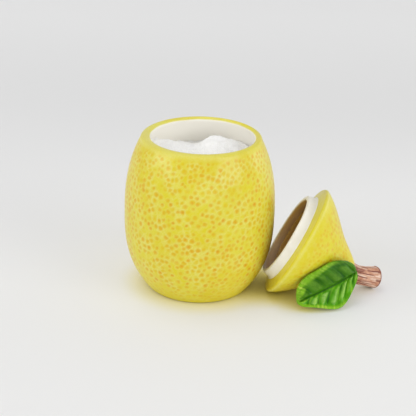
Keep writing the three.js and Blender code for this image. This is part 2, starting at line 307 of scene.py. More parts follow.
def nearest_two(points, centres):
    """Distance to the nearest and the second nearest centre, and the nearest one's index."""
    first = np.empty(len(points))
    second = np.empty(len(points))
    which = np.empty(len(points), int)
    for start in range(0, len(points), BLOCK):
        part = slice(start, start + BLOCK)
        block = points[part]
        square = (block**2).sum(1)[:, None] + (centres**2).sum(1)[None] - 2 * block @ centres.T
        square = np.maximum(square, 0)
        best = np.argpartition(square, 1, axis=1)[:, :2]
        two = np.take_along_axis(square, best, axis=1)
        swap = two[:, 0] > two[:, 1]
        best[swap] = best[swap][:, ::-1]
        two = np.sort(two, axis=1)
        which[part] = best[:, 0]
        first[part] = np.sqrt(two[:, 0])
        second[part] = np.sqrt(two[:, 1])
    return first, second, which


def peel(rings, density, seed, spacing, tries, radius, strength, stretch=1.0):
    """Pores over a stack of rings: how orange, how pale and how deep each point is.

    stretch draws the pores out along the axis."""
    across = np.linalg.norm(np.roll(rings, -1, axis=1) - rings, axis=-1)
    along = np.linalg.norm(np.gradient(rings, axis=0), axis=-1)
    used = density > LEAST_DENSITY
    share = density[used]
    points = rings[used] * [1, 1, 1 / stretch]
    wobble = np.stack([ripple(points, WOBBLE_SIZE, seed + 10 + k) for k in range(3)], axis=-1)
    gap = np.broadcast_to(spacing, density.shape)[used] * (1 + 0.1 * ripple(points, 22, seed + 1))
    centres, rng = scatter(points, (across * along)[used] * share, gap, seed, tries)
    size = rng.uniform(*radius, len(centres))
    power = rng.uniform(*strength, len(centres)) * (0.95 + 0.16 * ripple(centres, 30, seed + 2))
    first, second, which = nearest_two(points + PORE_WOBBLE * wobble, centres)
    reach = first / size[which]
    spot = np.exp(-np.abs(reach) ** PORE_EDGE)
    fade = np.clip(1.2 * share, 0, 1)
    halo = bell(reach - HALO_REACH, HALO_WIDTH) * np.clip(power[which], 0, 1)
    net = bell(second - first, NET_WIDTH) * smooth(ripple(points, 16, seed + 3), -0.9, 0.7)
    found = np.zeros((3, *rings.shape[:2]))
    found[0][used] = np.clip(spot * power[which], 0, 1) * fade
    found[1][used] = np.clip(0.6 * halo + 0.65 * net, 0, 1) * fade
    found[2][used] = spot * fade
    return found


# Materials

MIX_A, MIX_B, MIX_RESULT = 6, 7, 2  # a Mix node's colour sockets share their names with others


class Paint:
    """A node material with a Principled shader and short ways to add to it."""

    def __init__(self, name, **sockets):
        self.material = bpy.data.materials.new(name)
        self.material.use_nodes = True
        self.tree = self.material.node_tree
        self.shader = self.tree.nodes["Principled BSDF"]
        for key, value in sockets.items():
            self.shader.inputs[key.replace("_", " ")].default_value = value
        self.place = self.node("ShaderNodeTexCoord").outputs["Object"]

    def node(self, kind, **settings):
        made = self.tree.nodes.new(kind)
        for key, value in settings.items():
            setattr(made, key, value)
        return made

    def link(self, source, target):
        """Feeds a socket from another one, or gives it a number or a colour."""
        if isinstance(source, (int, float)):
            target.default_value = source
        elif isinstance(source, tuple):
            target.default_value = (*source, 1) if len(source) == 3 else source
        else:
            self.tree.links.new(source, target)

    def attribute(self, name):
        return self.node("ShaderNodeAttribute", attribute_name=name).outputs["Fac"]

    def noise(self, size, detail=3.0, roughness=0.55):
        """Noise from 0 to 1 whose features are about size millimetres wide."""
        made = self.node("ShaderNodeTexNoise")
        made.inputs["Scale"].default_value = 1 / (size * MM)
        made.inputs["Detail"].default_value = detail
        made.inputs["Roughness"].default_value = roughness
        self.link(self.place, made.inputs["Vector"])
        return made.outputs["Fac"]

    def range(self, value, low, high, to_low=0.0, to_high=1.0):
        """An eased step from to_low at low to to_high at high."""
        made = self.node("ShaderNodeMapRange", interpolation_type="SMOOTHSTEP")
        keys = ("Value", "From Min", "From Max", "To Min", "To Max")
        for key, number in zip(keys, (value, low, high, to_low, to_high)):
            self.link(number, made.inputs[key])
        return made.outputs["Result"]

    def times(self, a, b):
        made = self.node("ShaderNodeMath", operation="MULTIPLY")
        self.link(a, made.inputs[0])
        self.link(b, made.inputs[1])
        return made.outputs["Value"]

    def mix(self, share, a, b):
        made = self.node("ShaderNodeMix", data_type="RGBA")
        self.link(share, made.inputs["Factor"])
        self.link(a, made.inputs[MIX_A])
        self.link(b, made.inputs[MIX_B])
        return made.outputs[MIX_RESULT]

    def colour(self, source):
        self.link(source, self.shader.inputs["Base Color"])

    def roughness(self, source):
        self.link(source, self.shader.inputs["Roughness"])

    def bump(self, height, depth):
        """Relief of depth millimetres from a height between 0 and 1."""
        made = self.node("ShaderNodeBump")
        made.inputs["Distance"].default_value = depth * MM
        made.inputs["Strength"].default_value = 1
        self.link(height, made.inputs["Height"])
        self.link(made.outputs["Normal"], self.shader.inputs["Normal"])


def srgb(red, green, blue):
    """The linear numbers that a shader takes for a colour in screen values from 0 to 255."""
    def linear(value):
        share = value / 255
        return ((share + 0.055) / 1.055) ** 2.4 if value > 10 else share / 12.92
    return tuple(linear(value) for value in (red, green, blue))


def grey(level):
    return (level, level, level)


YELLOW, YELLOW_DEEP = srgb(221, 208, 34), srgb(219, 200, 24)
YELLOW_PALE = srgb(227, 221, 116)
ORANGE = srgb(219, 146, 6)
IVORY = srgb(246, 243, 234)
# Tan for the inside of the lid and its bore
LINING_TAN, LINING_TAN_DEEP = srgb(218, 182, 116), srgb(192, 152, 80)
SUGAR_SHADE, SUGAR_WHITE = srgb(247, 246, 244), srgb(254, 254, 253)
FLANGE_WHITE, FLANGE_CREAM = srgb(250, 248, 242), srgb(244, 240, 230)
BARK_TAN, BARK_BROWN = srgb(210, 160, 130), srgb(186, 124, 92)
BARK_HIGHLIGHT, BARK_GROOVE_SHADE, BARK_RIM = srgb(244, 224, 204), srgb(122, 54, 34), srgb(138, 66, 42)

# The leaf's greens: the clouds of each half, then pairs for the upper and the lower half. The upper
# half's greens are painted darker as shade, and the lower half's lighter as lit.
SHADED_UPPER_CLOUDS = srgb(44, 98, 0), srgb(68, 124, 6)
LIT_LOWER_CLOUDS = srgb(62, 138, 6), srgb(88, 164, 14)
THIN_GLAZE_AND_HIGHLIGHT = srgb(98, 146, 38), srgb(166, 208, 102)
LIGHT_STROKES = srgb(92, 156, 50), srgb(168, 214, 66)
LEAF_EDGE, LEAF_EDGE_PALE = srgb(132, 186, 36), srgb(196, 222, 84)
DARK_STROKES, VEIN_SHADE, MIDRIB_SHADE = srgb(26, 88, 4), srgb(24, 84, 6), srgb(26, 78, 2)


def glaze_paint(name, orange_gain, pale_gain, lining):
    """The peel's glaze: yellow with orange pores, pale lines between them, painted highlights and a
    plain lining.
    """
    paint = Paint(
        name, Roughness=0.3, Specular_IOR_Level=0.3, Coat_Weight=0.08, Coat_Roughness=0.12
    )
    cloud = paint.range(paint.noise(26), 0.38, 0.66)
    body = paint.mix(cloud, YELLOW, YELLOW_DEEP)
    mottle = paint.range(paint.noise(3.4, 3.0), 0.45, 0.72, 0, 0.3)
    body = paint.mix(mottle, body, YELLOW_PALE)
    broken = paint.range(paint.noise(1.1, 2.0), 0.25, 0.75, 0.65, 1.15)
    # Pale lines between the pores, with painted highlights on the jar's lip and the lid's edge, and
    # painted light on the lid's ledge
    pale_and_highlight = paint.times(paint.attribute("pale_and_highlight"), pale_gain)
    body = paint.mix(paint.times(pale_and_highlight, broken), body, YELLOW_PALE)
    orange = paint.times(paint.attribute("orange"), orange_gain)
    body = paint.mix(paint.times(orange, broken), body, ORANGE)
    paint.colour(paint.mix(paint.attribute("inside"), body, lining))
    paint.roughness(paint.range(paint.noise(9), 0.3, 0.7, 0.29, 0.37))
    paint.bump(paint.noise(6, 1.0), 0.02)
    return paint.material


def sugar_paint():
    paint = Paint("sugar_grains", Roughness=0.8, Specular_IOR_Level=0.2)
    grain = paint.noise(0.7, 2.0, 0.7)
    paint.colour(paint.mix(paint.range(grain, 0.35, 0.7), SUGAR_SHADE, SUGAR_WHITE))
    paint.bump(grain, 0.12)
    return paint.material


def flange_paint():
    paint = Paint("flange_glaze", Roughness=0.4, Specular_IOR_Level=0.35)
    streak = paint.range(paint.noise(7, 3.0), 0.35, 0.7)
    body = paint.mix(streak, FLANGE_WHITE, FLANGE_CREAM)
    paint.colour(paint.mix(paint.attribute("bore"), body, LINING_TAN))
    paint.roughness(paint.range(paint.noise(5), 0.3, 0.7, 0.34, 0.48))
    paint.bump(paint.noise(4, 2.0), 0.03)
    return paint.material


def bark_paint():
    paint = Paint("bark_stain", Roughness=0.42, Coat_Weight=0.15)
    wash = paint.range(paint.noise(3.2, 4.0), 0.35, 0.65)
    body = paint.mix(wash, BARK_TAN, BARK_BROWN)
    # Painted highlights: cream strokes on the stem's ridges
    body = paint.mix(paint.times(paint.attribute("cream_highlight"), 0.85), body, BARK_HIGHLIGHT)
    # Painted shade: dark red-brown in the stem's grooves
    body = paint.mix(paint.range(paint.attribute("bark"), 0.12, 0.7), body, BARK_GROOVE_SHADE)
    body = paint.mix(paint.attribute("rim"), body, BARK_RIM)
    paint.colour(body)
    paint.roughness(paint.range(wash, 0, 1, 0.32, 0.5))
    paint.bump(paint.noise(1.2, 3.0), 0.08)
    return paint.material


def leaf_paint():
    paint = Paint("leaf_glaze", Roughness=0.2, Specular_IOR_Level=0.14)
    cloud = paint.range(paint.noise(8, 3.0), 0.35, 0.65)
    upper = paint.mix(cloud, *SHADED_UPPER_CLOUDS)
    lower = paint.mix(cloud, *LIT_LOWER_CLOUDS)
    # Painted shade: the upper half takes darker greens than the lower half
    body = paint.mix(paint.attribute("lower"), upper, lower)
    # Paler colour on the cushions' crests, partly thin glaze and partly painted highlight
    lighter = paint.mix(paint.attribute("lower"), *THIN_GLAZE_AND_HIGHLIGHT)
    body = paint.mix(paint.range(paint.attribute("cushion"), 0.35, 0.95, 0, 0.66), body, lighter)
    brushed = paint.range(paint.noise(2.0, 4.0), 0.42, 0.68, 0, 0.34)
    body = paint.mix(brushed, body, DARK_STROKES)
    light = paint.mix(paint.attribute("lower"), *LIGHT_STROKES)
    body = paint.mix(paint.times(paint.attribute("streak"), 0.5), body, light)
    # Painted shade in the grooves of the veins
    body = paint.mix(paint.range(paint.attribute("vein"), 0.1, 0.9, 0, 0.65), body, VEIN_SHADE)
    edge = paint.mix(paint.attribute("streak"), LEAF_EDGE, LEAF_EDGE_PALE)
    worn = paint.range(paint.noise(3.2, 3.0), 0.36, 0.64, 0.7, 1.0)
    rim = paint.range(paint.attribute("rim"), 0.05, 1.0, 0, 0.95)
    body = paint.mix(paint.times(rim, worn), body, edge)
    # Painted shade in the midrib's groove
    body = paint.mix(paint.range(paint.attribute("midrib"), 0.2, 1.0, 0, 0.8), body, MIDRIB_SHADE)
    paint.colour(body)
    paint.roughness(paint.range(paint.noise(4), 0.3, 0.7, 0.16, 0.26))
    paint.bump(paint.noise(1.6, 3.0), 0.06)
    return paint.material


# Jar

def jar_radius(height):
    """Outer radius at a height below the crown of the lip."""
    below = height < BELLY_HEIGHT
    end = np.where(below, 0, LIP_START)
    end_radius = np.where(below, FOOT_RADIUS, LIP_RADIUS)
    fullness = np.where(below, LOWER_FULLNESS, UPPER_FULLNESS)
    share = np.abs((height - BELLY_HEIGHT) / (end - BELLY_HEIGHT))
    return BELLY_RADIUS - (BELLY_RADIUS - end_radius) * share**fullness


def jar_profile():
    """Radius and height from the middle of the underside, round the lip, to the inner floor."""
    recess = FOOT_RADIUS - FOOT_RING_WIDTH
    foot_top = (float(jar_radius(np.array(FOOT_ROUND))), FOOT_ROUND)
    foot = bezier([(FOOT_RADIUS - FOOT_ROUND, 0), (FOOT_RADIUS, 0), foot_top], 8)
    heights = np.linspace(FOOT_ROUND, LIP_START, 200)
    outside = np.stack([jar_radius(heights), heights], axis=1)
    angle = np.linspace(0, math.pi, 40)
    middle = (LIP_RADIUS + MOUTH_RADIUS) / 2
    crown = [middle + JAR_WALL / 2 * np.cos(angle), LIP_START + LIP_CROWN * np.sin(angle)]
    depths = np.linspace(LIP_START, FLOOR_HEIGHT + FLOOR_FILLET, 80)
    inside = np.stack([jar_radius(depths) - JAR_WALL, depths], axis=1)
    corner = (float(jar_radius(np.array(FLOOR_HEIGHT))) - JAR_WALL, FLOOR_HEIGHT)
    floor = bezier([inside[-1], corner, (corner[0] - FLOOR_FILLET, FLOOR_HEIGHT)], 12)
    return np.vstack([
        [(JAR_CENTRE, FOOT_RECESS), (JAR_PANEL, FOOT_RECESS)],
        [(recess - FOOT_RECESS, FOOT_RECESS), (recess, 0), (FOOT_RADIUS - FOOT_ROUND - 1.5, 0)],
        foot,
        evenly(outside, JAR_OUTSIDE_STEP)[1:],
        evenly(np.stack(crown, axis=1), JAR_CROWN_STEP)[1:],
        evenly(inside, JAR_INSIDE_STEP)[1:],
        floor[1:],
        [(JAR_PANEL, FLOOR_HEIGHT), (JAR_CENTRE, FLOOR_HEIGHT)],
    ])


def jar():
    profile = jar_profile()
    rings = turned(profile, JAR_STEPS)
    height = profile[:, 1]
    top = int(np.argmax(height))
    order = np.arange(len(profile))
    crown = np.flatnonzero(height > LIP_START)
    inner = smooth(order, crown[0] - 1, crown[-1] + 1)
    inner = inner * smooth(height, MOUTH_SHIFT_START, LIP_START)
    for axis in (0, 1):
        rings[..., axis] += MOUTH_SHIFT[axis] * inner[:, None]

    # The peel thins out at the foot and just below the lip.
    outer = (order < top)[:, None]
    density = (0.6 + 0.4 * smooth(height, 2, 22)) * smooth(height, 1, 3)
    density = density * (1 - smooth(height, 90, 93))
    density = density[:, None] * outer * (0.95 + 0.1 * ripple(rings, 34, SEED))
    lip_near = smooth(height, 62, 88)[:, None]
    spacing = PORE_SPACING - PORE_CROWDING * lip_near
    orange, pale_and_highlight, dip = peel(
        rings, density, SEED, spacing, PORE_TRIES, PORE_RADIUS, PORE_STRENGTH
    )
    orange = orange * (1 - 0.32 * lip_near) * (0.45 + 0.55 * smooth(height, 4, 20)[:, None])
    pale_and_highlight = pale_and_highlight * (0.5 + 0.5 * smooth(height, 5, 24)[:, None])

    # Painted highlight on the lip, weakest on the side towards the lid.
    lip_highlight = 0.6 - 0.3 * smooth(np.cos(full_turn(JAR_STEPS)), 0.3, 0.9)
    lip_highlight = lip_highlight * smooth(height, LIP_START - 2.5, LIP_START + 0.8)[:, None]
    pale_and_highlight = np.maximum(pale_and_highlight, lip_highlight)

    normal = ring_normals(rings)
    hollow = PORE_DEPTH * dip + UNEVENNESS * (1 + ripple(rings, 40, SEED + 7)) * outer
    hollow = hollow * (height > FOOT_ROUND)[:, None]
    rings = rings - normal * hollow[..., None]
    waver = 0.1 * ripple(rings, 14, SEED + 8)
    inside = (order > top)[:, None] * smooth(JAR_HEIGHT - height[:, None] + waver, 1.0, 1.7)
    values = {"orange": orange, "pale_and_highlight": pale_and_highlight, "inside": inside}
    return ring_object("jar_shell", rings, values)


# Lid

def lid_place():
    """From the lid's own frame to the row frame."""
    turn = Matrix.Rotation(math.radians(LID_TURN), 4, "Z")
    dip = Matrix.Rotation(math.pi / 2 + math.radians(LID_DIP), 4, "Y")
    return Matrix.Translation(LID_POSITION) @ turn @ dip


def along_slope(point, degrees, distance):
    """A point at a distance along a slope that climbs towards the axis."""
    angle = math.radians(degrees)
    return (point[0] - distance * math.cos(angle), point[1] + distance * math.sin(angle))


def dome_outside():
    """Radius and height from the lid's edge over shoulder and waist to the nipple."""
    edge = (LID_RADIUS, LID_EDGE_HEIGHT)
    waist = (WAIST_RADIUS, WAIST_HEIGHT)
    top = (NIPPLE_RADIUS, DOME_HEIGHT)
    edge_pull = along_slope(edge, EDGE_SLOPE, EDGE_EASE)
    shoulder_pull = along_slope(waist, WAIST_SLOPE, -WAIST_EASE)
    waist_pull = along_slope(waist, WAIST_SLOPE, WAIST_EASE)
    top_pull = along_slope(top, NIPPLE_SLOPE, -NIPPLE_EASE)
    shoulder = bezier([edge, edge_pull, shoulder_pull, waist], 80)
    nipple = bezier([waist, waist_pull, top_pull, top], 60)
    return np.vstack([shoulder, nipple[1:]])


def lid_profile():
    """Radius and height from the root of the flange, round the outside, to the inside's throat."""
    outside = dome_outside()
    along = np.gradient(outside, axis=0)
    along /= np.linalg.norm(along, axis=1, keepdims=True)
    inside = outside + np.stack([-along[:, 1], along[:, 0]], axis=1) * LID_WALL
    clear = (inside[:, 0] < FLANGE_BORE - 1) & (inside[:, 0] > LID_WALL / 2)
    inside = inside[clear][::-1]
    ledge_end = (LID_RADIUS - LID_EDGE_ROUND, LEDGE_RISE)
    edge = bezier([ledge_end, (LID_RADIUS, LEDGE_RISE), outside[0]], 14)
    ledge = np.array([(FLANGE_RADIUS, 0), ledge_end])
    throat_pull = (FLANGE_BORE, inside[-1, 1] - 2.5)
    throat = bezier([inside[-1], throat_pull, (FLANGE_BORE, 3), (FLANGE_BORE, 0)], 16)
    return np.vstack([
        evenly(ledge, LEDGE_STEP),
        edge[1:],
        evenly(outside, DOME_STEP)[1:],
        [(NIPPLE_RADIUS - 1.5, DOME_HEIGHT), (LID_CENTRE, DOME_HEIGHT)],
        [(LID_CENTRE, inside[0, 1])],
        evenly(inside, LINING_STEP),
        evenly(throat, THROAT_STEP)[1:],
        [(FLANGE_BORE + 1.5, 0)],
    ])


def lid_dome():
    profile = lid_profile()
    rings = turned(profile, LID_STEPS)
    radius, height = profile[:, 0], profile[:, 1]
    order = np.arange(len(profile))
    tip = int(np.argmax(height))
    outer = order < tip
    density = outer * smooth(height, 5, 11) * (1 - smooth(height, 36, 39.8))
    density = density[:, None] * (0.85 + 0.3 * ripple(rings, 26, SEED + 20))
    orange, pale_and_highlight, dip = peel(
        rings, density, SEED + 21, LID_PORE_SPACING, LID_PORE_TRIES,
        LID_PORE_RADIUS, LID_PORE_STRENGTH, LID_PORE_STRETCH,
    )

    # Painted highlight: a pale line along the lid's edge. Painted light lifts the ledge, which
    # faces the jar and lies in its shade.
    crest = bell(height - LID_EDGE_HEIGHT - 0.2, 1.0) * (outer & (radius > LID_RADIUS - 2.5))
    ledge_painted_light = 0.3 * (outer & (height < LEDGE_RISE + 0.2))
    pale_and_highlight = np.maximum(0.4 * pale_and_highlight, np.maximum(crest, ledge_painted_light)[:, None])

    normal = ring_normals(rings)
    uneven = UNEVENNESS * (1 + ripple(rings, 30, SEED + 27)) * outer[:, None]
    hollow = LID_PORE_DEPTH * dip + uneven
    hollow = hollow * (smooth(height, 2, 6) * (height < DOME_HEIGHT - 0.5))[:, None]
    rings = rings - normal * hollow[..., None]
    inside = (order > tip)[:, None] * 1.0
    values = {"orange": orange, "pale_and_highlight": pale_and_highlight, "inside": inside}
    return ring_object("lid_shell", rings, values, lid_place(), ends=False)


def lid_flange():
    tip = -FLANGE_HEIGHT
    tip_round = tip + FLANGE_TIP_ROUND
    outer_end = (FLANGE_TIP_RADIUS - FLANGE_TIP_ROUND, tip)
    inner_end = (FLANGE_BORE + FLANGE_TIP_ROUND, tip)
    outer = bezier([(FLANGE_TIP_RADIUS, tip_round), (FLANGE_TIP_RADIUS, tip), outer_end], 9)
    inner = bezier([inner_end, (FLANGE_BORE, tip), (FLANGE_BORE, tip_round)], 9)
    fillet_ends = (FLANGE_RADIUS + 0.9, 0.2), (FLANGE_RADIUS - 0.15, -1.0)
    fillet = bezier([fillet_ends[0], (FLANGE_RADIUS, 0), fillet_ends[1]], 7)
    profile = np.vstack([
        [(FLANGE_BORE + 0.2, FLANGE_SUNK)],
        evenly(inner[::-1], FLANGE_TIP_STEP),
        outer[::-1],
        evenly(np.array([outer[0], fillet[-1]]), FLANGE_SIDE_STEP)[1:],
        fillet[::-1][1:],
        [(FLANGE_RADIUS + 0.3, FLANGE_SUNK)],
    ])
    rings = turned(profile, FLANGE_STEPS)
    normal = ring_normals(rings)
    rings = rings + normal * (0.05 * ripple(rings, 18, SEED + 40))[..., None]
    bore = 1 - smooth(profile[:, 0], FLANGE_BORE + 0.05, FLANGE_BORE + 0.5)
    # Painted light: the tan of the bore fades on its lowest side, which faces up towards the light.
    lighter = 0.35 * smooth(np.cos(full_turn(FLANGE_STEPS)), 0.1, 1.0)
    values = {"bore": bore[:, None] * (1 - lighter)}
    return ring_object("flange_ring", rings, values, lid_place(), ends=False)


# Stem

def stem_line(share):
    """Centres and directions along the stem, and the side that it leans to, in the lid's frame."""
    lean = math.radians(STEM_LEAN_AZIMUTH)
    side = np.array([math.cos(lean), math.sin(lean), 0])
    tilt = math.radians(STEM_TILT)
    foot = np.array([0, 0, DOME_HEIGHT + SEAM])
    cut = side * STEM_LEAN + [0, 0, DOME_HEIGHT + STEM_LENGTH]
    aim = side * math.sin(tilt) + [0, 0, math.cos(tilt)]
    a, b, c, d = foot, foot + [0, 0, STEM_BEND], cut - aim * STEM_BEND, cut
    t = np.asarray(share, float)[..., None]
    centre = (1 - t) ** 3 * a + 3 * t * (1 - t) ** 2 * b + 3 * t**2 * (1 - t) * c + t**3 * d
    way = (1 - t) ** 2 * (b - a) + 2 * t * (1 - t) * (c - b) + t**2 * (d - c)
    return centre, way / np.linalg.norm(way, axis=-1, keepdims=True), side


def strokes(share, angle, count, width, length, seed):
    """Brushed lines along the stem: how strongly each point is covered, from 0 to 1."""
    rng = np.random.default_rng(seed)
    cover = np.zeros((len(share), len(angle)))
    for _ in range(count):
        middle = rng.uniform(0, 2 * math.pi)
        start = rng.uniform(-0.2, 0.9)
        stop = start + rng.uniform(*length)
        drift = 0.1 * np.sin(share[:, None] * rng.uniform(2, 5) + rng.uniform(0, 6))
        apart = np.angle(np.exp(1j * (angle[None] - middle - drift)))
        run = smooth(share, start, start + 0.1) * (1 - smooth(share, stop, stop + 0.1))
        stroke = bell(apart, rng.uniform(*width)) * run[:, None] * rng.uniform(0.45, 1)
        cover = np.maximum(cover, stroke)
    return cover


def stem():
    side_end = 1 - STEM_CUT_CHAMFER / STEM_LENGTH
    share = np.concatenate([np.linspace(0, side_end, SIDE_RINGS), np.ones(CHAMFER_RINGS)])
    centre, way, side = stem_line(share)
    across = np.array([-side[1], side[0], 0])
    lean = np.cross(across, way)
    radius = STEM_NECK_RADIUS + (STEM_ROOT_RADIUS - STEM_NECK_RADIUS) * (1 - share) ** 3
    radius = radius + (STEM_CUT_RADIUS - STEM_NECK_RADIUS) * share**2

    # Rounded edge of the cut, then rings towards the middle of its shallow dish
    turn = np.linspace(0, 1, CHAMFER_RINGS) * math.pi / 2
    radius[-CHAMFER_RINGS:] = STEM_CUT_RADIUS - STEM_CUT_CHAMFER * (1 - np.cos(turn))
    back = (STEM_CUT_CHAMFER * (np.sin(turn) - 1))[:, None]
    centre[-CHAMFER_RINGS:] += way[-CHAMFER_RINGS:] * back
    inner = np.linspace(0.85, 0.06, CUT_RINGS)
    dish = way[-1] * (CUT_DISH * bell(inner - 0.45, 0.25))[:, None]
    radius = np.concatenate([radius, radius[-1] * inner])
    centre = np.vstack([centre, np.repeat(centre[-1:], CUT_RINGS, axis=0) - dish])
    lean = np.vstack([lean, np.repeat(lean[-1:], CUT_RINGS, axis=0)])
    share = np.concatenate([share, np.ones(CUT_RINGS)])

    angle = full_turn(STEM_STEPS)
    # Grooves, painted dark as shade, and cream strokes between them painted as highlights
    bark = strokes(share, angle, 60, (0.03, 0.07), (0.2, 0.7), SEED + 50)
    cream_highlight = strokes(share, angle, 62, (0.05, 0.12), (0.12, 0.5), SEED + 52) * (1 - bark)
    order = np.arange(len(share))[:, None]
    on_side = order < SIDE_RINGS + 4
    body = radius[:, None] - BARK_GROOVE * bark * on_side
    around = lean[:, None] * np.cos(angle)[None, :, None] + across * np.sin(angle)[None, :, None]
    rings = centre[:, None] + body[..., None] * around
    uneven = (0.12 * (1 + ripple(rings, 5, SEED + 51)))[..., None]
    rings = rings - ring_normals(rings) * uneven * on_side[..., None]
    rings[0, :, 2] -= STEM_FOOT_SUNK
    down = np.array(lid_place().to_3x3().inverted() @ Vector((0, 0, -STEM_SETTLE)))
    rings = rings + down * smooth(share, 0.2, 1.0)[:, None, None]
    rim = smooth(share, 0.91, 0.98)[:, None] * (order < SIDE_RINGS + CHAMFER_RINGS + 2)
    values = {"bark": bark * on_side, "rim": rim * 0.85, "cream_highlight": cream_highlight * on_side}
    return ring_object("stem_bark", rings, values, lid_place())


# Leaf

def leaf_place():
    """From the leaf's own frame, with +X from its stalk to its tip, to the row frame."""
    turn = Matrix.Rotation(math.radians(LEAF_HEADING), 4, "Z")
    turn = turn @ Matrix.Rotation(math.radians(LEAF_DROOP), 4, "Y")
    turn = turn @ Matrix.Rotation(math.radians(LEAF_ROLL), 4, "X")
    stand_off = STEM_ROOT_RADIUS + SEAM + LEAF_THICKNESS / 2 - LEAF_SINK
    seat = np.array(turn.to_3x3() @ Vector((0, -LEAF_SHIFT, stand_off)))
    seat = stem_line(LEAF_SEAT / STEM_LENGTH)[0] + seat
    return lid_place() @ Matrix.Translation(seat.tolist()) @ turn


def leaf_outline(share):
    """Half widths along the blade: the blunt upper half's and the waved lower half's."""
    upper = np.sqrt(1 - np.abs(2 * share**LEAF_UPPER_SKEW - 1) ** LEAF_UPPER_BLUNT)
    upper = LEAF_STALK_WIDTH + (LEAF_UPPER_WIDTH - LEAF_STALK_WIDTH) * upper
    upper = upper + LEAF_BACK_SWELL * bell(share - 0.45, 0.17)
    wave = np.cos(2 * math.pi * (share - LEAF_WAVE_START) / LEAF_WAVE_PITCH)
    wave = LEAF_EDGE_WAVE * (0.3 + 0.7 * share) * wave
    lower = np.abs(np.sin(math.pi * share**LEAF_LOWER_SKEW)) ** LEAF_LOWER_BLUNT
    lower = LEAF_STALK_WIDTH + (LEAF_LOWER_WIDTH - LEAF_STALK_WIDTH + wave) * lower
    return upper, lower


def leaf_section():
    """Points round the blade's section: reach to the upper (-1) or lower (1) edge, face from the
    back (-1) to the front (1), and bulge of the rounded edges."""
    edge = np.linspace(0, math.pi, LEAF_EDGE_STEPS + 2)[1:-1]
    across = np.linspace(1, -1, LEAF_FACE_STEPS)
    flat, end = np.ones(LEAF_FACE_STEPS), np.ones(LEAF_EDGE_STEPS)
    reach = np.concatenate([across, -end, across[::-1], end])
    face = np.concatenate([flat, np.cos(edge), -flat, -np.cos(edge)])
    bulge = np.concatenate([0 * flat, -np.sin(edge), 0 * flat, np.sin(edge)])
    return reach, face, bulge


def leaf_veins(along, width, reach):
    """Number of veins up to each point, which is whole on a vein."""
    out = np.abs(reach)
    below = along - LOWER_VEIN_SLANT * np.abs(width) * (1 - 0.25 * out)
    below = LEAF_LENGTH * np.maximum(below / LEAF_LENGTH, 0.001) ** LOWER_VEIN_CROWDING
    above = along - UPPER_VEIN_SLANT * np.abs(width) * (1 + 0.6 * out)
    turn = np.where(reach > 0, below / LOWER_VEIN_PITCH, above / UPPER_VEIN_PITCH) - 0.3
    return turn + 0.13 * np.sin(2.3 * turn + 0.8)


